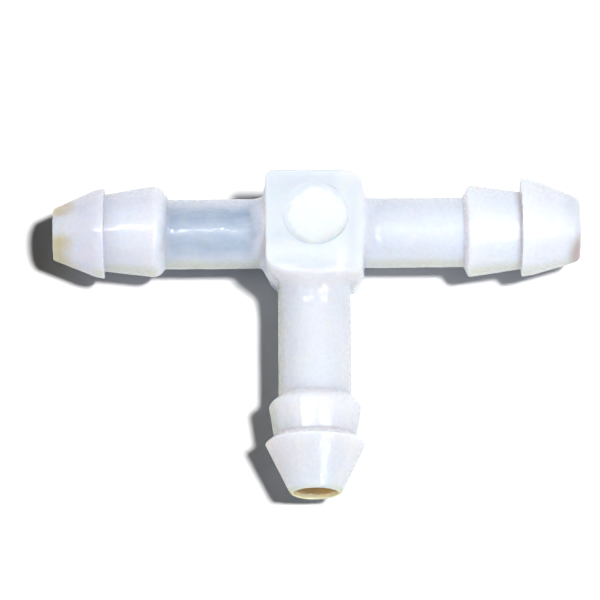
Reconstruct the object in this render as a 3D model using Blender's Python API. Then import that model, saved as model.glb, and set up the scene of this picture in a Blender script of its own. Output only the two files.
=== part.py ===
"""Barbed tee connector for 4 mm bore micro-irrigation hose, in metres, +Z up.

The fitting lies flat. The run goes along X, the branch leaves it towards -Y, and the moulded
hub stands on its flat back face, whose centre is the origin. The real fitting is one moulding
with an empty tee-shaped waterway. It is cut here at the planes where its shape changes: the
hub, and on each arm a stem, an inner barb and a tip barb.
"""

import math

import bmesh
import bpy
from mathutils import Vector

MM = 0.001

# Driving dimensions
BORE_RADIUS = 1.25 * MM
AXIS_HEIGHT = 3.0 * MM  # of the run and the branch above the back face, and the parting plane
SEAM_GAP = 0.02 * MM  # between neighbouring solids
SEGMENTS = 40  # round every turned piece and every bore

# Hub: a block that is widest at the parting plane and drafted towards both faces
HUB_HALF_X = 2.92 * MM
HUB_HALF_Y = 3.12 * MM
HUB_DEPTH = 2 * AXIS_HEIGHT
FRONT_DRAFT = math.radians(2.0)
BACK_DRAFT = math.radians(4.5)
HUB_CORNER_RADIUS = 0.60 * MM  # of the four upright edges
HUB_EDGE_RADIUS = 0.28 * MM  # where the sides run into the front and back faces
CORNER_STEPS = 5
EDGE_STEPS = 3

# Fillet between the hub and each stem. Inside the block it goes on as a steep flare, so that
# it also meets the side where the draft sets it back.
ROOT_FILLET = 0.28 * MM
FLARE_DEPTH = 0.25 * MM
FLARE_RISE = 0.14 * MM
ROOT_START = 1.9 * MM
FILLET_STEPS = 4

# Round moulding mark on the hub's front face
MARK_RADIUS = 1.91 * MM
MARK_DEPTH = 0.05 * MM
MARK_OFFSET = (0.10 * MM, 0.35 * MM)

# Arms. Stations are distances from the point where the run and branch axes cross. A sway is
# how far the outside of a barb stands off its arm's axis, at its two ends, as moulded.
ARMS = {
    "left": {
        "turn": (0, -math.pi / 2, 0),
        "root": HUB_HALF_X + ROOT_FILLET,
        "stem_radius": 2.05 * MM,
        "shoulder": 8.62 * MM,
        "crest": 9.14 * MM,
        "crest_radius": 2.73 * MM,
        "crest_round": 0.30 * MM,
        "inner_sway": (0.20 * MM, 0.12 * MM),
        "step": 12.30 * MM,
        "waist_radius": 2.27 * MM,
        "rim_radius": 2.66 * MM,
        "rim_lean": 0.0,
        "land": 0.45 * MM,
        "tip_sway": (0.11 * MM, 0.05 * MM),
        "tip": 15.30 * MM,
        "face_radius": 1.50 * MM,
        "nose_round": 0.06 * MM,
        "mouth_radius": 1.33 * MM,
        "mouth_depth": 1.05 * MM,
    },
    "right": {
        "turn": (0, math.pi / 2, 0),
        "root": HUB_HALF_X + ROOT_FILLET,
        "stem_radius": 2.05 * MM,
        "shoulder": 8.79 * MM,
        "crest": 9.08 * MM,
        "crest_radius": 2.71 * MM,
        "crest_round": 0.10 * MM,
        "inner_sway": (0.07 * MM, 0.08 * MM),
        "step": 12.18 * MM,
        "waist_radius": 2.27 * MM,
        "rim_radius": 2.93 * MM,
        "rim_lean": 0.0,
        "land": 0.45 * MM,
        "tip_sway": (0.32 * MM, 0.10 * MM),
        "tip": 15.64 * MM,
        "face_radius": 1.84 * MM,
        "nose_round": 0.32 * MM,
        "mouth_radius": 1.30 * MM,
        "mouth_depth": 0.30 * MM,
    },
    "branch": {
        "turn": (math.pi / 2, 0, 0),
        "root": HUB_HALF_Y + ROOT_FILLET,
        "stem_radius": 2.10 * MM,
        "shoulder": 9.97 * MM,
        "crest": 10.49 * MM,
        "crest_radius": 2.70 * MM,
        "crest_round": 0.20 * MM,
        "inner_sway": (0.0, 0.0),
        "step": 12.38 * MM,
        "waist_radius": 2.39 * MM,
        "rim_radius": 2.92 * MM,
        "rim_lean": 0.44 * MM,
        "land": 0.12 * MM,
        "tip_sway": (0.0, 0.0),
        "tip": 15.76 * MM,
        "face_radius": 1.60 * MM,
        "nose_round": 0.10 * MM,
        "mouth_radius": 1.30 * MM,
        "mouth_depth": 0.30 * MM,
    },
}


def clear_scene():
    for obj in list(bpy.data.objects):
        bpy.data.objects.remove(obj, do_unlink=True)


def natural_plastic():
    """Unpigmented, milky polypropylene."""
    material = bpy.data.materials.new("natural_plastic")
    material.use_nodes = True
    shader = material.node_tree.nodes["Principled BSDF"]
    shader.inputs["Base Color"].default_value = (0.84, 0.87, 0.93, 1)
    shader.inputs["Roughness"].default_value = 0.32
    shader.inputs["Metallic"].default_value = 0.0
    return material


def add_object(name, mesh, material=None):
    obj = bpy.data.objects.new(name, mesh)
    bpy.context.scene.collection.objects.link(obj)
    if material:
        mesh.materials.append(material)
    return obj


def add_frame(name, turn):
    """An empty at the crossing point of the bores, whose +Z looks out along an arm."""
    frame = bpy.data.objects.new(name, None)
    frame.location = (0, 0, AXIS_HEIGHT)
    frame.rotation_euler = turn
    frame.empty_display_size = 2 * MM
    bpy.context.scene.collection.objects.link(frame)
    return frame


def corner_arc(centre, radius, start, end, steps):
    """Points (station, radius) on an arc. Angles are measured from the outward radial."""
    station, height = centre
    angles = [start + (end - start) * i / steps for i in range(steps + 1)]
    return [(station + radius * math.sin(a), height + radius * math.cos(a)) for a in angles]


def rounded(corner, before, after, radius, steps):
    """The arc that rounds the corner of an outline between its two neighbouring points."""
    corner, before, after = Vector(corner), Vector(before), Vector(after)
    inward = (before - corner).normalized()
    outward = (after - corner).normalized()
    half = inward.angle(outward) / 2
    reach = radius / math.tan(half)
    centre = corner + (inward + outward).normalized() * (radius / math.sin(half))
    start = corner + inward * reach - centre
    sweep = start.angle_signed(corner + outward * reach - centre)
    points = []
    for i in range(steps + 1):
        turn = -sweep * i / steps
        c, s = math.cos(turn), math.sin(turn)
        points.append((centre.x + start.x * c - start.y * s, centre.y + start.x * s + start.y * c))
    return points


def lean_outside(work, sway, clear_radius):
    """Moves what lies outside a radius off the axis, by an amount that runs from end to end."""
    low = min(vert.co.z for vert in work.verts)
    high = max(vert.co.z for vert in work.verts)
    for vert in work.verts:
        if math.hypot(vert.co.x, vert.co.y) > clear_radius:
            share = (vert.co.z - low) / (high - low)
            vert.co.y += sway[0] + (sway[1] - sway[0]) * share


def turned(name, outline, material=None, frame=None, sway=(0.0, 0.0), clear_radius=BORE_RADIUS):
    """A closed (station, radius) outline turned about the frame's Z axis."""
    work = bmesh.new()
    ring = [work.verts.new((radius, 0, station)) for station, radius in outline]
    edges = [work.edges.new((a, b)) for a, b in zip(ring, ring[1:] + ring[:1])]
    bmesh.ops.spin(
        work,
        geom=ring + edges,
        cent=(0, 0, 0),
        axis=(0, 0, 1),
        angle=2 * math.pi,
        steps=SEGMENTS,
        use_merge=True,
    )
    bmesh.ops.remove_doubles(work, verts=work.verts, dist=1e-7)
    lean_outside(work, sway, clear_radius + 0.01 * MM)
    bmesh.ops.recalc_face_normals(work, faces=work.faces)
    mesh = bpy.data.meshes.new(name)
    work.to_mesh(mesh)
    work.free()
    mesh.shade_smooth()
    mesh.set_sharp_from_angle(angle=math.radians(30))
    obj = add_object(name, mesh, material)
    obj.parent = frame
    return obj


def solid_rod(name, start, end, radius, frame):
    """A plain rod along the frame's Z axis, used to cut a bore or a round recess."""
    work = bmesh.new()
    bmesh.ops.create_cone(
        work,
        cap_ends=True,
        segments=SEGMENTS,
        radius1=radius,
        radius2=radius,
        depth=end - start,
    )
    bmesh.ops.translate(work, verts=work.verts, vec=(0, 0, (start + end) / 2))
    mesh = bpy.data.meshes.new(name)
    work.to_mesh(mesh)
    work.free()
    rod = add_object(name, mesh)
    rod.parent = frame
    return as_helper(rod)


def as_helper(obj):
    obj.hide_render = True
    obj.display_type = "WIRE"
    return obj


def stem_outline(arm):
    start = arm["root"] + SEAM_GAP / 2
    end = arm["shoulder"] - SEAM_GAP / 2
    radius = arm["stem_radius"]
    return [(start, BORE_RADIUS), (start, radius), (end, radius), (end, BORE_RADIUS)]


def inner_barb_outline(arm):
    """A steep shoulder up to a rounded crest, then a long taper down to the tip barb's step."""
    start = arm["shoulder"] + SEAM_GAP / 2
    end = arm["step"] - SEAM_GAP / 2
    foot = (start, arm["stem_radius"])
    waist = (end, arm["waist_radius"])
    crest = (arm["crest"], arm["crest_radius"])
    outline = [(start, BORE_RADIUS), foot]
    outline += rounded(crest, foot, waist, arm["crest_round"], steps=4)
    return outline + [waist, (end, BORE_RADIUS)]


def tip_barb_outline(arm):
    """A square step up to the rim, a short land, the nose cone and the rounded mouth."""
    start = arm["step"] + SEAM_GAP / 2
    tip = arm["tip"]
    rim = (start + arm["rim_lean"], arm["rim_radius"])
    land = (rim[0] + arm["land"], arm["rim_radius"] - 0.06 * MM)
    nose = (tip, arm["face_radius"])
    outline = [(start, BORE_RADIUS)]
    if arm["rim_lean"] > 0:
        outline.append((start, arm["waist_radius"]))
    outline += [rim, land]
    outline += rounded(nose, land, (tip, BORE_RADIUS), arm["nose_round"], steps=3)
    outline += [(tip, arm["mouth_radius"]), (tip - arm["mouth_depth"], arm["mouth_radius"])]
    return outline + [(tip - arm["mouth_depth"], BORE_RADIUS)]


def root_outline(arm):
    """The fillet ring that carries the hub's side into the stem, as a solid plug."""
    end = arm["root"] - SEAM_GAP / 2
    brim = arm["stem_radius"] + ROOT_FILLET
    flare = (end - ROOT_FILLET - FLARE_DEPTH, brim + FLARE_RISE)
    arc = corner_arc((end, brim), ROOT_FILLET, -math.pi / 2, -math.pi, FILLET_STEPS)
    core = 0.5 * BORE_RADIUS
    return [(ROOT_START, core), (ROOT_START, flare[1]), flare] + arc + [(end, core)]


def hub_ring(work, height, inset):
    """One rounded-rectangle loop of the hub at a height, moved in by the draft and an inset."""
    off_parting = abs(height - AXIS_HEIGHT)
    draft = FRONT_DRAFT if height > AXIS_HEIGHT else BACK_DRAFT
    inset += off_parting * math.tan(draft)
    half_x = HUB_HALF_X - inset
    half_y = HUB_HALF_Y - inset
    radius = HUB_CORNER_RADIUS - inset / 2
    ring = []
    for corner, (side_x, side_y) in enumerate(((1, 1), (-1, 1), (-1, -1), (1, -1))):
        centre_x = side_x * (half_x - radius)
        centre_y = side_y * (half_y - radius)
        for i in range(CORNER_STEPS + 1):
            angle = (corner + i / CORNER_STEPS) * math.pi / 2
            x = centre_x + radius * math.cos(angle)
            y = centre_y + radius * math.sin(angle)
            ring.append(work.verts.new((x, y, height)))
    return ring


def hub_levels():
    """(height, inset) of the hub's loops from the back face up to the front face."""
    arc = [i / EDGE_STEPS * math.pi / 2 for i in range(EDGE_STEPS + 1)]
    back = [(HUB_EDGE_RADIUS * (1 - math.sin(a)), HUB_EDGE_RADIUS * (1 - math.cos(a))) for a in arc]
    levels = back[::-1] + [(AXIS_HEIGHT, 0.0)]
    return levels, [(HUB_DEPTH - height, inset) for height, inset in back]


def hub_block(material):
    work = bmesh.new()
    back, front = hub_levels()
    rings = [hub_ring(work, height, inset) for height, inset in back + front]
    for lower, upper in zip(rings, rings[1:]):
        for i, vert in enumerate(lower):
            following = (i + 1) % len(lower)
            work.faces.new((vert, lower[following], upper[following], upper[i]))
    work.faces.new(rings[0][::-1])
    work.faces.new(rings[-1])
    bmesh.ops.recalc_face_normals(work, faces=work.faces)
    mesh = bpy.data.meshes.new("hub")
    work.to_mesh(mesh)
    work.free()
    mesh.shade_smooth()
    mesh.set_sharp_from_angle(angle=math.radians(30))
    return add_object("hub", mesh, material)


def combine(obj, other, operation):
    step = obj.modifiers.new(f"{operation.lower()}_{other.name}", "BOOLEAN")
    step.operation = operation
    step.solver = "EXACT"
    step.object = other


def hub(material, frames):
    """The block, a fillet ring to each stem, the tee-shaped waterway and the moulding mark."""
    block = hub_block(material)
    for name, frame in frames.items():
        ring = turned(f"{name}_root_ring", root_outline(ARMS[name]), frame=frame)
        combine(block, as_helper(ring), "UNION")
    reach = 2 * HUB_HALF_X
    run_bore = solid_rod("run_bore", -reach, reach, BORE_RADIUS, frames["right"])
    branch_bore = solid_rod("branch_bore", 0, reach, BORE_RADIUS, frames["branch"])
    upright = add_frame("mark_frame", (0, 0, 0))
    upright.location = (*MARK_OFFSET, HUB_DEPTH)
    mark = solid_rod("mark_recess", -MARK_DEPTH, MARK_DEPTH, MARK_RADIUS, upright)
    for cutter in (run_bore, branch_bore, mark):
        combine(block, cutter, "DIFFERENCE")
    return block


def main():
    clear_scene()
    material = natural_plastic()
    frames = {name: add_frame(f"{name}_arm", arm["turn"]) for name, arm in ARMS.items()}
    hub(material, frames)
    for name, arm in ARMS.items():
        frame = frames[name]
        turned(f"{name}_stem", stem_outline(arm), material, frame)
        inner = inner_barb_outline(arm)
        turned(f"{name}_inner_barb", inner, material, frame, arm["inner_sway"])
        tip = tip_barb_outline(arm)
        mouth = arm["mouth_radius"]
        turned(f"{name}_tip_barb", tip, material, frame, arm["tip_sway"], mouth)


main()
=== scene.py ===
import math

import bpy
import numpy as np
from mathutils import Matrix, Vector

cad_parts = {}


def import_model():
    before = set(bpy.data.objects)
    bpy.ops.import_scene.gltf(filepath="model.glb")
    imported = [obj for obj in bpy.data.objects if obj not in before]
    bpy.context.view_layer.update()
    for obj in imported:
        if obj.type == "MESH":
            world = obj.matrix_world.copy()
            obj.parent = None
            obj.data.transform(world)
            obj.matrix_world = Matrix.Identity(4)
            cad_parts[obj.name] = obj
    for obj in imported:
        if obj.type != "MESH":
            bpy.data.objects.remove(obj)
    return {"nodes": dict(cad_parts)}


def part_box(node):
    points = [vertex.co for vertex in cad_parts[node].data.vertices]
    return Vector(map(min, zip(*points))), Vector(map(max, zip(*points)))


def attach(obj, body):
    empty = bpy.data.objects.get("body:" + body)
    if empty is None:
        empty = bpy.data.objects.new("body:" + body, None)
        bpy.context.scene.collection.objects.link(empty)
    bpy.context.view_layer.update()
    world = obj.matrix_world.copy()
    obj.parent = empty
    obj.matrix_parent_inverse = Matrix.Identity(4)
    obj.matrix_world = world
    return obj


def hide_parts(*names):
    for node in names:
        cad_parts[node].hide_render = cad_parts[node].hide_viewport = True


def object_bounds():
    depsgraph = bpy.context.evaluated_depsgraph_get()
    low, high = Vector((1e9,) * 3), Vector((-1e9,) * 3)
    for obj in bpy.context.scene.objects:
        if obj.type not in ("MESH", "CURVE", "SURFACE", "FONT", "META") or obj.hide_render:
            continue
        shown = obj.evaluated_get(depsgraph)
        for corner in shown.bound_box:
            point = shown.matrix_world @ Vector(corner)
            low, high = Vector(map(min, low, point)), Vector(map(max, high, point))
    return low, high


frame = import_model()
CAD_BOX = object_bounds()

# The barbed tee as it is moulded: one seamless body of milky plastic, shaped as a distance field and
# then meshed. Lengths are millimetres in the field and in the material, and metres in Blender. A station
# is a distance along an arm from the crossing of the two waterways.
MM = 0.001

# ---------------------------------------------------------------------------------------------------
# Sizes


def node_box(node):
    """Lowest and highest corners of a CAD node, in millimetres."""
    low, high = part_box(node)
    return np.array(low) / MM, np.array(high) / MM


HUB_LOW, HUB_HIGH = node_box("hub")
AXIS_HEIGHT = (HUB_LOW[2] + HUB_HIGH[2]) / 2
HUB_HALF_DEPTH = (HUB_HIGH[2] - HUB_LOW[2]) / 2
HUB_HALF_Y = HUB_HIGH[1]
HUB_HALF_X = 2.92

# Upright corners of the hub: lower and upper on the left, then lower and upper on the right
HUB_CORNER_RADII = ((1.05, 0.45), (0.50, 0.75))
HUB_EDGE_RADIUS = 0.13
FRONT_DRAFT = math.tan(math.radians(2.0))
BACK_DRAFT = math.tan(math.radians(4.5))
FRONT_EASE = (-0.6, 1.2)
FRONT_SLACK = 0.06
FRONT_BLEND = 0.25

MARK_CENTRE = (0.10, 0.35)
MARK_RADIUS = 1.91
MARK_DEPTH = 0.15
MARK_DISH = 0.11
MARK_TILT = (0.040, -0.035)
MARK_BLEND = 0.03

BORE_RADIUS = 1.25
STEM_START = 1.5
FILLET_HEIGHTS = (0.6, 2.0)
BARB_OVERLAP = 0.2
CORNER_BLEND = 0.07
LAND_BLEND = 0.1
RIM_BLEND = 0.05
MOUTH_BLEND = 0.08
# A corner that is blended over this many radii comes out round by about one radius
ROUND_TO_BLEND = 1 / 0.85

FLASH_HEIGHT = 0.035
FLASH_WIDTH = 0.05
SLOW_RIPPLE = 0.010
QUICK_RIPPLE = 0.005

# The axis that an arm runs along, its direction on that axis, and the axis across it
ARM_AXES = {"left": (0, -1, 1), "right": (0, 1, 1), "branch": (1, -1, 0)}

# Fillets are the blends with the hub, low on its sides and high on its front. The ramp is where the front
# comes down from the hub's face to the stem, and ramp_square how square the stem is at its top. The face
# falls where the hub's own front comes down with the ramp. A sway is how far a barb's axis lies to one
# side at its start and at its end. The rim leans by its distance past the step.
ARMS = {
    "left": dict(
        side_fillet=0.42, front_fillet=0.12, ramp=(2.3, 3.9), ramp_square=0.5, face_falls=False,
        crest_length=0.52, crest_round=0.30, inner_sway=(0.20, 0.12), waist_radius=2.27,
        rim_lean=0.0, land=0.45, land_drop=0.06, tip_sway=(0.11, 0.05), face_radius=1.50,
        nose_round=0.06, mouth_radius=1.33, mouth_depth=1.05,
    ),
    "right": dict(
        side_fillet=0.22, front_fillet=0.90, ramp=(1.25, 4.1), ramp_square=0.3, face_falls=True,
        crest_length=0.29, crest_round=0.10, inner_sway=(0.07, 0.08), waist_radius=2.27,
        rim_lean=0.0, land=0.45, land_drop=0.06, tip_sway=(0.32, 0.10), face_radius=1.84,
        nose_round=0.32, mouth_radius=1.30, mouth_depth=0.30,
    ),
    "branch": dict(
        side_fillet=0.30, front_fillet=1.00, ramp=(1.50, 4.9), ramp_square=1.2, face_falls=True,
        crest_length=0.52, crest_round=0.20, inner_sway=(0.0, 0.0), waist_radius=2.39,
        rim_lean=0.44, land=0.12, land_drop=0.06, tip_sway=(0.0, 0.0), face_radius=1.60,
        nose_round=0.10, mouth_radius=1.30, mouth_depth=0.30,
    ),
}


def stations(node, arm):
    """Where a node starts and ends along its arm, and its largest radius."""
    low, high = node_box(node)
    axis, sign, _ = ARM_AXES[arm]
    ends = sorted((sign * low[axis], sign * high[axis]))
    return ends[0], ends[1], (high[2] - low[2]) / 2


for name, arm in ARMS.items():
    _, arm["shoulder"], arm["stem_radius"] = stations(name + "_stem", name)
    arm["step"], arm["tip"], arm["rim_radius"] = stations(name + "_tip_barb", name)
    arm["crest_radius"] = stations(name + "_inner_barb", name)[2]

# ---------------------------------------------------------------------------------------------------
# The distance field


def smooth_min(a, b, blend):
    """The smaller of two distances, with the corner between them filled over the blend width."""
    near = np.maximum(blend - np.abs(a - b), 0)
    return np.minimum(a, b) - near * near / (4 * blend)


def smooth_max(a, b, blend):
    return -smooth_min(-a, -b, blend)


def smooth_step(value, low, high):
    t = np.clip((value - low) / (high - low), 0, 1)
    return t * t * (3 - 2 * t)


def side_of(station, radius, start, end):
    """Distance outside the line of an outline that runs from start to end, tip to the right."""
    run, rise = end[0] - start[0], end[1] - start[1]
    length = math.hypot(run, rise)
    return ((radius - start[1]) * run - (station - start[0]) * rise) / length


def off_axis(station, across, up, start, end, sway):
    """Radius about an axis that leans sideways from one sway to the other along a barb."""
    lean = sway[0] + (sway[1] - sway[0]) * np.clip((station - start) / (end - start), 0, 1)
    return np.hypot(across - lean, up)


def inner_barb(arm, station, across, up):
    """Cone that rises steeply from the stem to a crest and falls slowly to the waist."""
    start, end = arm["shoulder"], arm["step"]
    foot = (start, arm["stem_radius"])
    crest = (start + arm["crest_length"], arm["crest_radius"])
    waist = (end, arm["waist_radius"])
    radius = off_axis(station, across, up, start, end, arm["inner_sway"])
    back = side_of(station, radius, foot, crest)
    front = side_of(station, radius, crest, waist)
    cone = smooth_max(back, front, arm["crest_round"] * ROUND_TO_BLEND)
    return np.maximum(cone, np.maximum(start - station, station - end - BARB_OVERLAP))


def tip_barb(arm, station, across, up):
    """Cone with a short land behind its rim, down to a round-nosed end face."""
    start, end = arm["step"], arm["tip"]
    rim = (start + arm["rim_lean"], arm["rim_radius"])
    land = (rim[0] + arm["land"], rim[1] - arm["land_drop"])
    nose = (end, arm["face_radius"])
    radius = off_axis(station, across, up, start, end, arm["tip_sway"])
    if arm["rim_lean"] > 0:
        back = side_of(station, radius, (start, arm["waist_radius"]), rim)
    else:
        back = start - station
    side = smooth_max(side_of(station, radius, rim, land), side_of(station, radius, land, nose), LAND_BLEND)
    face = smooth_max(side, station - end, arm["nose_round"] * ROUND_TO_BLEND)
    return np.maximum(smooth_max(face, back, RIM_BLEND), start - station)


def local(point, name):
    """Station, sideways and upward place of points in an arm's own frame."""
    along, sign, across = ARM_AXES[name]
    return sign * point[along], point[across], point[2] - AXIS_HEIGHT


def fall(arm, station):
    """How far the front has come down, at a station, from the hub's face to the top of the stem."""
    return (HUB_HALF_DEPTH - arm["stem_radius"]) * smooth_step(station, *arm["ramp"])


def stem(name, point):
    """Round stem. On its front side it climbs to the hub's front face, squarer towards the hub."""
    arm = ARMS[name]
    station, across, up = local(point, name)
    radius = arm["stem_radius"]
    half_height = HUB_HALF_DEPTH - fall(arm, station)
    power = 2 + arm["ramp_square"] * (half_height - radius) / (HUB_HALF_DEPTH - radius)
    reach = (np.abs(across / radius) ** power + np.abs(up / half_height) ** power) ** (1 / power)
    body = np.minimum(np.hypot(across, up) - radius, np.maximum((reach - 1) * radius, -up))
    return np.maximum(body, np.maximum(STEM_START - station, station - arm["step"]))


def barbs(name, point):
    arm = ARMS[name]
    station, across, up = local(point, name)
    return smooth_min(inner_barb(arm, station, across, up), tip_barb(arm, station, across, up), CORNER_BLEND)


def front_height(point):
    """Height of the hub's front face over the axis: level, and lower towards the right arm and the branch."""
    falling = [fall(arm, local(point, name)[0]) for name, arm in ARMS.items() if arm["face_falls"]]
    return HUB_HALF_DEPTH - sum(falling)


def hub_block(point):
    """Block with rounded upright corners and rounded edges, drafted both ways from the parting plane."""
    x, y, z = point
    height = z - AXIS_HEIGHT
    shrink = np.where(height > 0, height * FRONT_DRAFT, -height * BACK_DRAFT)
    (low_left, top_left), (low_right, top_right) = HUB_CORNER_RADII
    corner = np.where(x < 0, np.where(y < 0, low_left, top_left), np.where(y < 0, low_right, top_right))
    over_x = np.abs(x) - (HUB_HALF_X - corner) + shrink
    over_y = np.abs(y) - (HUB_HALF_Y - corner) + shrink
    plan = np.hypot(np.maximum(over_x, 0), np.maximum(over_y, 0)) + np.minimum(np.maximum(over_x, over_y), 0)
    wall = plan - corner + HUB_EDGE_RADIUS
    cap = np.maximum(height - front_height(point), -height - HUB_HALF_DEPTH) + HUB_EDGE_RADIUS
    rounded = np.hypot(np.maximum(wall, 0), np.maximum(cap, 0)) + np.minimum(np.maximum(wall, cap), 0)
    return rounded - HUB_EDGE_RADIUS


def flash(point):
    """Thin witness of the mould's parting line, all round the outside."""
    return FLASH_HEIGHT * np.exp(-(((point[2] - AXIS_HEIGHT) / FLASH_WIDTH) ** 2))


def ripple(point):
    """Slight unevenness of a cheap moulding, about a hundredth of a millimetre high."""
    x, y, z = point
    slow = np.sin(1.3 * x + 0.7 * y + 0.4) * np.sin(1.1 * y - 0.9 * z + 1.7)
    quick = np.sin(3.7 * x + 1.9 * z + 0.3) * np.sin(3.1 * y + 2.3 * z + 2.1)
    return SLOW_RIPPLE * slow + QUICK_RIPPLE * quick


def outside(point):
    """Everything but the waterways and the mark."""
    body = hub_block(point)
    lift = smooth_step(point[2] - AXIS_HEIGHT, *FILLET_HEIGHTS)
    for name, arm in ARMS.items():
        blend = arm["side_fillet"] + (arm["front_fillet"] - arm["side_fillet"]) * lift
        body = smooth_min(body, stem(name, point), blend)
    # The fillets don't fill up over the hub's front face
    beyond = np.maximum(np.abs(point[0]) - HUB_HALF_X, np.abs(point[1]) - HUB_HALF_Y)
    face = point[2] - AXIS_HEIGHT - front_height(point) - FRONT_SLACK - smooth_step(beyond, *FRONT_EASE)
    body = smooth_max(body, face, FRONT_BLEND)
    for name in ARMS:
        body = smooth_min(body, barbs(name, point), CORNER_BLEND)
    return body - flash(point) - ripple(point)


def waterways(point):
    """The crossing bores and the wider mouths at their ends."""
    height = point[2] - AXIS_HEIGHT
    run = np.hypot(point[1], height) - BORE_RADIUS
    branch = np.maximum(np.hypot(point[0], height) - BORE_RADIUS, point[1])
    hollow = np.minimum(run, branch)
    for name, arm in ARMS.items():
        station, across, up = local(point, name)
        mouth = np.maximum(np.hypot(across, up) - arm["mouth_radius"], arm["tip"] - arm["mouth_depth"] - station)
        hollow = np.minimum(hollow, mouth)
    return hollow


def mark(point):
    """Shallow round mark in the front face, dished where the thick hub has sunk."""
    across, along = point[0] - MARK_CENTRE[0], point[1] - MARK_CENTRE[1]
    radius = np.hypot(across, along)
    tilt = MARK_TILT[0] * across + MARK_TILT[1] * along
    depth = MARK_DEPTH + MARK_DISH * (1 - (radius / MARK_RADIUS) ** 2) + tilt
    return np.maximum(radius - MARK_RADIUS, HUB_HIGH[2] - depth - point[2])


def tee_distance(point):
    body = smooth_max(outside(point), -waterways(point), MOUTH_BLEND)
    return smooth_max(body, -mark(point), MARK_BLEND)


# ---------------------------------------------------------------------------------------------------
# From the field to a mesh

VOXEL = 0.065
MARGIN = 3 * VOXEL
MOST_TRIANGLES = 180_000
LEAST_SLOPE_SQUARED = 0.2
CORNERS = np.array([(i, j, k) for i in (0, 1) for j in (0, 1) for k in (0, 1)])
CUBE_EDGES = [(a, b) for a in range(8) for b in range(a + 1, 8) if np.abs(CORNERS[a] - CORNERS[b]).sum() == 1]


def sample_field(low, counts):
    """The distance at every grid point, one slice of x at a time."""
    x, y, z = (low[i] + VOXEL * np.arange(counts[i]) for i in range(3))
    field = np.empty(counts, np.float32)
    for i in range(counts[0]):
        field[i] = tee_distance((x[i], y[:, None], z[None, :]))
    return field


def surface_cells(field):
    """Indices of the grid cells that the surface passes through, and their corner values."""
    inside = (field < 0).astype(np.uint8)
    count = sum(inside[i : i - 1 or None, j : j - 1 or None, k : k - 1 or None] for i, j, k in CORNERS)
    cells = np.argwhere((count > 0) & (count < 8))
    values = np.stack([field[tuple((cells + corner).T)] for corner in CORNERS], axis=1)
    return cells, values


def cell_points(cells, values):
    """One point in each cell: the mean of where the surface crosses the cell's edges."""
    total = np.zeros((len(cells), 3))
    crossings = np.zeros(len(cells))
    for a, b in CUBE_EDGES:
        crossed = (values[:, a] < 0) != (values[:, b] < 0)
        share = np.where(crossed, values[:, a] / np.where(crossed, values[:, a] - values[:, b], 1), 0)
        place = CORNERS[a] + share[:, None] * (CORNERS[b] - CORNERS[a])
        total += place * crossed[:, None]
        crossings += crossed
    return cells + total / crossings[:, None]


def cell_quads(field, cells):
    """A quad across every grid edge that the surface crosses, facing out."""
    number = np.full(np.array(field.shape) - 1, -1, np.int64)
    number[tuple(cells.T)] = np.arange(len(cells))
    inner = np.argwhere(field[1:-1, 1:-1, 1:-1] < 0) + 1
    quads = []
    for axis in range(3):
        step, side, other = (np.eye(3, dtype=int)[(axis + shift) % 3] for shift in range(3))
        for turn in (1, -1):
            crossed = inner[field[tuple((inner + turn * step).T)] >= 0]
            edge = crossed if turn > 0 else crossed - step
            ring = [number[tuple((edge - a * side - b * other).T)] for a, b in ((1, 1), (0, 1), (0, 0), (1, 0))]
            quads.append(np.stack(ring[::turn], axis=1))
    return np.concatenate(quads)


def gradient(points, reach=0.01):
    """Direction in which the distance grows, which is the surface's outward normal."""
    slope = np.empty_like(points)
    for axis in range(3):
        shift = np.eye(3)[axis] * reach
        slope[:, axis] = tee_distance((points + shift).T) - tee_distance((points - shift).T)
    return slope / (2 * reach)


def settle(points, rounds):
    """Moves points onto the surface along the slope of the field."""
    for _ in range(rounds):
        slope = gradient(points)
        squared = np.maximum((slope * slope).sum(axis=1), LEAST_SLOPE_SQUARED)
        step = slope * (tee_distance(points.T) / squared)[:, None]
        points = points - np.clip(step, -VOXEL / 2, VOXEL / 2)
    return points


def mesh_points(mesh):
    points = np.empty(len(mesh.vertices) * 3)
    mesh.vertices.foreach_get("co", points)
    return points.reshape(-1, 3) / MM


def thinned(mesh):
    """The mesh with its flat and straight stretches in fewer, longer triangles."""
    piece = bpy.data.objects.new("work", mesh)
    bpy.context.scene.collection.objects.link(piece)
    decimate = piece.modifiers.new("thin", "DECIMATE")
    decimate.ratio = min(1.0, MOST_TRIANGLES / (2 * len(mesh.polygons)))
    decimate.use_collapse_triangulate = True
    graph = bpy.context.evaluated_depsgraph_get()
    result = bpy.data.meshes.new_from_object(piece.evaluated_get(graph))
    bpy.data.objects.remove(piece)
    return result


def tee_mesh():
    low = np.array(CAD_BOX[0]) / MM - MARGIN
    high = np.array(CAD_BOX[1]) / MM + MARGIN
    counts = np.ceil((high - low) / VOXEL).astype(int) + 1
    field = sample_field(low, counts)
    cells, values = surface_cells(field)
    points = settle(low + VOXEL * cell_points(cells, values), rounds=3)
    fine = bpy.data.meshes.new("fine")
    fine.from_pydata((points * MM).tolist(), [], cell_quads(field, cells).tolist())
    mesh = thinned(fine)
    points = settle(mesh_points(mesh), rounds=2)
    mesh.vertices.foreach_set("co", (points * MM).ravel())
    mesh.polygons.foreach_set("use_smooth", np.ones(len(mesh.polygons), bool))
    slope = gradient(points)
    mesh.normals_split_custom_set_from_vertices(slope / np.linalg.norm(slope, axis=1)[:, None])
    return mesh


# ---------------------------------------------------------------------------------------------------
# Material

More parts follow.
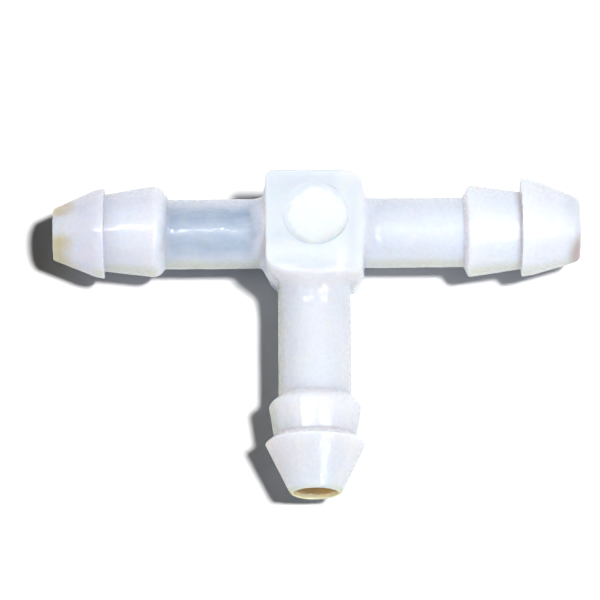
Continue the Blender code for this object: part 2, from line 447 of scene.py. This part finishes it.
MILKY = (0.505, 0.53, 0.61)
# Lit copy of the milky colour: painted light
LIT_MILKY = (0.575, 0.60, 0.675)
# Whiter barbs: thicker plastic, and painted light
CREST = (0.63, 0.665, 0.73)
# Mark's floor: stress whitening and a painted highlight
MARKED = (0.625, 0.65, 0.67)
# Tone for painted shade
PAINTED_SHADE = (0.46, 0.52, 0.59)
HUB = (0.54, 0.60, 0.63)
BRANCH = (0.58, 0.585, 0.61)
# Painted shade for the left tip
LEFT_TIP_SHADE = (0.42, 0.44, 0.53)
SHADED = (0.37, 0.41, 0.18)
# Clearer plastic, with painted shade of the bore seen through it
CLEAR_AND_SHADE = (0.285, 0.335, 0.43)
# Tan painted shade seen through the tips' thin walls
END_SHADE = (0.37, 0.315, 0.20)
# Dark painted shade for the right end's crescent
CRESCENT_SHADE = (0.23, 0.17, 0.18)
# Grey-green painted shade for the branch's left side
LEFT_EDGE_SHADE = (0.35, 0.38, 0.28)
# Painted shade inside the bores
BORE_SHADE = (0.27, 0.28, 0.21)

# Where each arm's whiter barbs end, and how much whiter they are: thicker plastic plus painted light, most on
# the right arm
CREST_SHARES = {"left": ("step", 0.15), "right": ("tip", 0.45), "branch": ("step", 0.35)}
HUB_REACH = 2.9
MARK_FLOOR = (5.3, 5.5)
SUBSURFACE_RADIUS = (1.7, 1.1, 0.7)
SUBSURFACE_SCALE = 1.8 * MM
CLEAR_SUBSURFACE_SCALE = 3.0 * MM
SWELL_HEIGHT = 0.030
PIT_HEIGHT = 0.005


class Shading:
    """Short ways to add nodes to one material. Places are in millimetres, in the object's own frame."""

    def __init__(self, name):
        self.material = bpy.data.materials.new(name)
        self.material.use_nodes = True
        self.tree = self.material.node_tree
        self.shader = self.tree.nodes["Principled BSDF"]
        place = self.add("ShaderNodeTexCoord").outputs["Object"]
        scaled = self.add("ShaderNodeVectorMath", operation="SCALE")
        self.tree.links.new(place, scaled.inputs["Vector"])
        scaled.inputs["Scale"].default_value = 1 / MM
        self.place = scaled.outputs["Vector"]
        split = self.add("ShaderNodeSeparateXYZ")
        self.tree.links.new(self.place, split.inputs["Vector"])
        self.x, self.y, self.z = split.outputs
        self.along = {"left": self.product(self.x, -1), "right": self.x, "branch": self.product(self.y, -1)}

    def add(self, kind, **settings):
        node = self.tree.nodes.new(kind)
        for key, value in settings.items():
            setattr(node, key, value)
        return node

    def feed(self, socket, value):
        if isinstance(value, bpy.types.NodeSocket):
            self.tree.links.new(value, socket)
        else:
            socket.default_value = value

    def math(self, operation, *values):
        node = self.add("ShaderNodeMath", operation=operation)
        for socket, value in zip(node.inputs, values):
            self.feed(socket, value)
        return node.outputs[0]

    def product(self, first, *others):
        for other in others:
            first = self.math("MULTIPLY", first, other)
        return first

    def total(self, first, *others):
        for other in others:
            first = self.math("ADD", first, other)
        return first

    def length(self, across, along):
        return self.math("POWER", self.total(self.math("POWER", across, 2), self.math("POWER", along, 2)), 0.5)

    def rise(self, value, low, high, start=0.0, end=1.0):
        """Goes smoothly from start to end as the value goes from low to high."""
        node = self.add("ShaderNodeMapRange", interpolation_type="SMOOTHSTEP")
        for socket, part in zip(node.inputs, (value, low, high, start, end)):
            self.feed(socket, part)
        return node.outputs[0]

    def band(self, value, low, high, soft):
        """1 between low and high and 0 outside, with soft edges."""
        up = self.rise(value, low - soft / 2, low + soft / 2)
        down = self.rise(value, high - soft / 2, high + soft / 2, 1.0, 0.0)
        return self.product(up, down)

    def hump(self, value, centre, half_width):
        """1 at the centre, and smoothly down to 0 at half a width from it."""
        return self.rise(self.math("ABSOLUTE", self.math("SUBTRACT", value, centre)), 0, half_width, 1.0, 0.0)

    def facing(self, *direction):
        """How much the surface faces a direction, from -1 to 1."""
        node = self.add("ShaderNodeVectorMath", operation="DOT_PRODUCT")
        self.tree.links.new(self.add("ShaderNodeTexCoord").outputs["Normal"], node.inputs[0])
        node.inputs[1].default_value = direction
        return node.outputs["Value"]

    def noise(self, scale, detail=2.0, roughness=0.5, stretch=(1, 1, 1)):
        mapping = self.add("ShaderNodeMapping")
        self.feed(mapping.inputs["Vector"], self.place)
        mapping.inputs["Scale"].default_value = stretch
        node = self.add("ShaderNodeTexNoise")
        self.feed(node.inputs["Vector"], mapping.outputs["Vector"])
        node.inputs["Scale"].default_value = scale
        node.inputs["Detail"].default_value = detail
        node.inputs["Roughness"].default_value = roughness
        return node.outputs[0]

    def vary(self, noise, start, end):
        """Goes from start to end over most of a noise's values."""
        return self.rise(noise, 0.3, 0.7, start, end)

    def mix(self, share, first, second):
        node = self.add("ShaderNodeMix", data_type="RGBA")
        self.feed(node.inputs["Factor"], share)
        for socket, colour in zip((node.inputs["A"], node.inputs["B"]), (first, second)):
            self.feed(socket, colour if isinstance(colour, bpy.types.NodeSocket) else (*colour, 1))
        return node.outputs["Result"]

    def tint(self, colour, tone, *shares):
        """The colour with some of a tone in it: the product of the shares."""
        return self.mix(self.product(*shares), colour, tone)


def milky_colours(s, on_hub):
    """Painted light and shade over a random cloudy tone: lighter towards the right, whiter barbs from thicker
    plastic and painted light, darker at the left tip and the hub's top.
    """
    cloud = s.noise(0.35, 3.0)
    # Painted light: lighter towards the right arm, where the light falls; the cloud noise adds a random tone
    thick = s.total(s.rise(s.x, -2.0, 5.0, 0.1, 0.9), s.rise(cloud, 0.35, 0.65, -0.1, 0.1))
    colour = s.mix(thick, MILKY, LIT_MILKY)
    for name, (last, share) in CREST_SHARES.items():
        arm = ARMS[name]
        crest = s.band(s.along[name], arm["shoulder"] + 0.1, arm[last] - 0.1, 0.3)
        # Whiter barbs: thicker plastic, and painted light strongest on the right arm
        colour = s.tint(colour, CREST, crest, share)
    colour = s.tint(colour, BRANCH, s.rise(s.y, -3.4, -2.6, 0.45, 0.0))
    # Painted shade: the left tip darker, furthest from the light
    colour = s.tint(colour, LEFT_TIP_SHADE, s.rise(s.x, -12.5, -10.5, 0.35, 0.0))
    colour = s.tint(colour, HUB, on_hub, 0.6)
    # Painted shade: the hub's face darker towards the back
    return s.tint(colour, PAINTED_SHADE, s.band(s.x, -HUB_REACH, 1.6, 1.0), s.rise(s.y, 0.6, 2.4), 0.6)


def clear_and_shade_share(s, place, side):
    """How clear the left stem is: a broad clearer body, with an upper and a lower streak of painted shade where
    the bore shows through the wall.
    """
    streaks = s.noise(2.4, 4.0, 0.6, stretch=(0.3, 1.0, 1.0))
    along = s.product(s.rise(place, -9.2, -8.3), s.rise(place, -4.0, -2.9, 1.0, 0.0))
    upper = s.product(s.hump(side, 0.55, 0.70), 0.42)
    lower = s.product(s.hump(side, -1.20, 0.80), 0.33)
    body = s.product(s.hump(side, -0.1, 2.6), 0.62)
    return s.product(along, s.total(upper, lower, body), s.vary(streaks, 0.82, 1.12))


def shaded_ends(s, colour, place, side):
    """Painted shade: tan shade seen through the thin walls at the ends of the run, a dark crescent at the right
    end, a darker right nose and branch-tip middle, and yellowish shaded edges.
    """
    left_tip, right_tip, branch = ARMS["left"]["tip"], ARMS["right"]["tip"], ARMS["branch"]
    end = s.rise(place, -left_tip + 0.2, -left_tip + 1.6, 1.0, 0.0)
    streak = s.math("MAXIMUM", s.rise(side, -0.9, 0.1, 1.0, 0.2), s.rise(side, 0.3, 1.1, 0.0, 1.0))
    lower_right = s.rise(s.math("SUBTRACT", s.x, s.y), right_tip + 0.1, right_tip + 1.3)
    right_end = s.product(s.rise(s.x, right_tip - 0.9, right_tip - 0.2), lower_right)
    # Painted shade seen through the thin walls: tan near the left end, strongest in an upper and a lower streak,
    # and at the right end's lower corner
    colour = s.tint(colour, END_SHADE, s.math("MAXIMUM", s.product(end, streak), right_end), 0.9)
    # Painted shade: darker towards the rounded nose of the right tip
    colour = s.tint(colour, PAINTED_SHADE, s.rise(s.x, right_tip - 1.3, right_tip - 0.2, 0.0, 0.9))
    # Painted shade: a darker stripe down the middle of the branch tip
    on_tip = s.rise(s.along["branch"], branch["step"], branch["step"] + 0.5, 0.0, 0.55)
    colour = s.tint(colour, PAINTED_SHADE, s.hump(s.x, 0.45, 1.5), on_tip)

    # Painted shade on the branch's left-facing side, away from the light
    on_branch = s.rise(s.y, -3.6, -2.4, 0.65, 0.0)
    colour = s.tint(colour, LEFT_EDGE_SHADE, s.rise(s.facing(-1.0, 0.0, 0.0), 0.80, 1.0), on_branch)
    on_arms = s.rise(s.math("ABSOLUTE", s.x), 2.9, 3.3, 0.0, 0.35)
    low_side = s.product(s.rise(s.facing(0.0, -1.0, 0.0), 0.86, 1.0), on_arms)
    lower = s.rise(s.z, AXIS_HEIGHT, AXIS_HEIGHT + 1.5, 0.8, 0.2)
    lip = s.product(s.rise(s.along["branch"], branch["tip"] - 0.35, branch["tip"] - 0.05), lower)
    colour = s.tint(colour, SHADED, s.math("MAXIMUM", low_side, lip))
    # Painted shade: a dark crescent at the right end's lower corner, where the bore shows through
    return s.tint(colour, CRESCENT_SHADE, right_end, 0.7)


def mark_whitening_and_glint(s, colour, grain):
    """The round mark's floor, whitened unevenly: stress whitening, with a painted highlight in it."""
    across, along = s.math("SUBTRACT", s.x, MARK_CENTRE[0]), s.math("SUBTRACT", s.y, MARK_CENTRE[1])
    skew = s.product(s.math("SUBTRACT", along, across), 0.05)
    whitening_and_glint = s.total(s.length(across, along), skew, s.vary(grain, -0.15, 0.15))
    return s.tint(colour, MARKED, s.rise(whitening_and_glint, 1.45, 1.80, 1.0, 0.0), s.rise(s.z, *MARK_FLOOR))


def shaded_bore(s, colour):
    """Painted shade inside the waterways: darker there. The branch's bore ends at the run's."""
    up = s.math("SUBTRACT", s.z, AXIS_HEIGHT)
    branch_bore = s.total(s.length(s.x, up), s.rise(s.y, 0.5, 1.5, 0.0, 2.0))
    bore = s.math("MINIMUM", branch_bore, s.length(s.y, up))
    return s.tint(colour, BORE_SHADE, s.rise(bore, BORE_RADIUS + 0.02, BORE_RADIUS + 0.08, 1.0, 0.0))


def natural_plastic():
    """Unpigmented, milky plastic: clear and bluish in the left stem, waxy under a thin, uneven gloss. Its colour
    also carries painted light and shade.
    """
    s = Shading("natural_plastic")
    grain = s.noise(2.2, 4.0, 0.6)
    drift = s.noise(0.9, 2.0)
    side = s.total(s.y, s.vary(drift, -0.12, 0.12))
    place = s.total(s.x, s.vary(drift, -0.2, 0.2))
    on_hub = s.product(s.band(s.x, -HUB_REACH, HUB_REACH, 1.0), s.band(s.y, -HUB_REACH, HUB_REACH, 1.0))
    # The share of clearer plastic, and of painted shade where the bore shows through
    clear = clear_and_shade_share(s, place, side)

    colour = milky_colours(s, on_hub)
    colour = s.tint(colour, CLEAR_AND_SHADE, clear)
    colour = shaded_ends(s, colour, place, side)
    colour = mark_whitening_and_glint(s, colour, grain)
    colour = shaded_bore(s, colour)

    specks = s.rise(s.noise(4.5, 2.0), 0.44, 0.58, 0.08, 0.85)
    bump = s.add("ShaderNodeBump")
    bump.inputs["Distance"].default_value = MM
    bump.inputs["Strength"].default_value = 1.0
    swell, pits = s.noise(1.6, 2.0), s.noise(7.0, 3.0, 0.6)
    s.feed(bump.inputs["Height"], s.total(s.product(swell, SWELL_HEIGHT), s.product(pits, PIT_HEIGHT)))
    settings = {
        "Base Color": colour,
        "Subsurface Weight": 1,
        "Subsurface Radius": SUBSURFACE_RADIUS,
        "Subsurface Scale": s.total(s.product(clear, CLEAR_SUBSURFACE_SCALE), SUBSURFACE_SCALE),
        "Roughness": s.vary(grain, 0.36, 0.50),
        "IOR": 1.5,
        "Specular IOR Level": 0.35,
        "Coat Weight": s.product(specks, s.rise(on_hub, 0.0, 1.0, 1.0, 0.35)),
        "Coat Roughness": s.total(s.vary(grain, 0.03, 0.10), s.product(on_hub, 0.22)),
        "Normal": bump.outputs["Normal"],
        "Coat Normal": bump.outputs["Normal"],
    }
    for name, value in settings.items():
        s.feed(s.shader.inputs[name], value)
    return s.material


def tee():
    piece = bpy.data.objects.new("tee_moulding", tee_mesh())
    bpy.context.scene.collection.objects.link(piece)
    piece.data.materials.clear()
    piece.data.materials.append(natural_plastic())
    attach(piece, "root")
    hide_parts(*sorted(frame["nodes"]))
    return piece


# ---------------------------------------------------------------------------------------------------
# Floor, lights and camera

TARGET = Vector((0, 0, AXIS_HEIGHT)) * MM
CAMERA_ELEVATION = math.radians(73.7)
CAMERA_ROLL = math.radians(0.44)
CAMERA_DISTANCE = 300 * MM
CAMERA_LENS = 306
CAMERA_SENSOR = 36
CAMERA_CLIP = (10 * MM, 10)
AIM_LEFT = 0.81 * MM
AIM_DOWN = 3.91 * MM
FLOOR_WIDTH = 800 * MM
FLOOR_COLOUR = (0.93, 0.93, 0.93, 1)
NEAR, FAR = 0.5, 2.0
FILL_WIDTH = 200 * MM


def floor():
    bpy.ops.mesh.primitive_plane_add(size=FLOOR_WIDTH)
    plane = bpy.context.object
    plane.name = "floor"
    material = bpy.data.materials.new("floor_paper")
    material.use_nodes = True
    shader = material.node_tree.nodes["Principled BSDF"]
    shader.inputs["Base Color"].default_value = FLOOR_COLOUR
    shader.inputs["Roughness"].default_value = 0.9
    shader.inputs["Specular IOR Level"].default_value = 0.2
    plane.data.materials.append(material)


def lamp(name, tilt_right, tilt_front, distance, power, width, depth=None, only=None):
    """Area light that leans from overhead to the right and to the front, by degrees. Without a depth it
    is a disc that shows in no reflection, and with one it is a strip that shows only in reflections."""
    data = bpy.data.lights.new(name, "AREA")
    data.shape = "RECTANGLE" if depth else "DISK"
    data.size = width
    if depth:
        data.size_y = depth
    data.energy = power
    body = bpy.data.objects.new(name, data)
    lean = (math.tan(math.radians(tilt_right)), -math.tan(math.radians(tilt_front)), 1)
    towards = Vector(lean).normalized()
    along = (Vector((1, 0, 0)) - towards * towards.x).normalized()
    pose = Matrix((along, towards.cross(along), towards)).transposed().to_4x4()
    pose.translation = TARGET + towards * distance
    body.matrix_world = pose
    body.visible_glossy = bool(depth)
    body.visible_diffuse = not depth
    bpy.context.scene.collection.objects.link(body)
    if only:
        body.light_linking.receiver_collection = only


def world(strength):
    """White studio: bright where the camera sees past the floor, dim as a light."""
    backdrop = bpy.data.worlds.new("studio")
    backdrop.use_nodes = True
    nodes, links = backdrop.node_tree.nodes, backdrop.node_tree.links
    background = nodes["Background"]
    background.inputs["Color"].default_value = (1, 1, 1, 1)
    level = nodes.new("ShaderNodeMapRange")
    level.inputs["To Min"].default_value = strength
    links.new(nodes.new("ShaderNodeLightPath").outputs["Is Camera Ray"], level.inputs["Value"])
    links.new(level.outputs["Result"], background.inputs["Strength"])
    bpy.context.scene.world = backdrop


def camera():
    forward = Vector((0, math.cos(CAMERA_ELEVATION), -math.sin(CAMERA_ELEVATION)))
    level = Vector((1, 0, 0))
    turn = Matrix.Rotation(CAMERA_ROLL, 3, forward)
    right = turn @ level
    up = turn @ level.cross(forward)
    data = bpy.data.cameras.new("camera")
    data.lens = CAMERA_LENS
    data.sensor_width = CAMERA_SENSOR
    data.clip_start, data.clip_end = CAMERA_CLIP
    body = bpy.data.objects.new("camera", data)
    pose = Matrix((right, up, -forward)).transposed().to_4x4()
    pose.translation = TARGET - right * AIM_LEFT - up * AIM_DOWN - forward * CAMERA_DISTANCE
    body.matrix_world = pose
    bpy.context.scene.collection.objects.link(body)
    bpy.context.scene.camera = body


camera()
floor()
tee_only = bpy.data.collections.new("tee_only")
tee_only.objects.link(tee())
lamp("key", 20, 4, FAR, 48.8, width=0.240)
lamp("right_window", 27, 19, NEAR, 2.60, width=0.210, depth=0.440, only=tee_only)
lamp("left_strip", -18, 4, NEAR, 1.10, width=0.320, depth=0.060, only=tee_only)
lamp("left_fill", -65, 0, NEAR, 1.05, FILL_WIDTH, only=tee_only)
lamp("front_fill", 0, 60, NEAR, 0.95, FILL_WIDTH, only=tee_only)
lamp("back_fill", 0, -60, NEAR, 0.75, FILL_WIDTH, only=tee_only)
world(strength=0.04)
bpy.context.scene.view_settings.view_transform = "Standard"
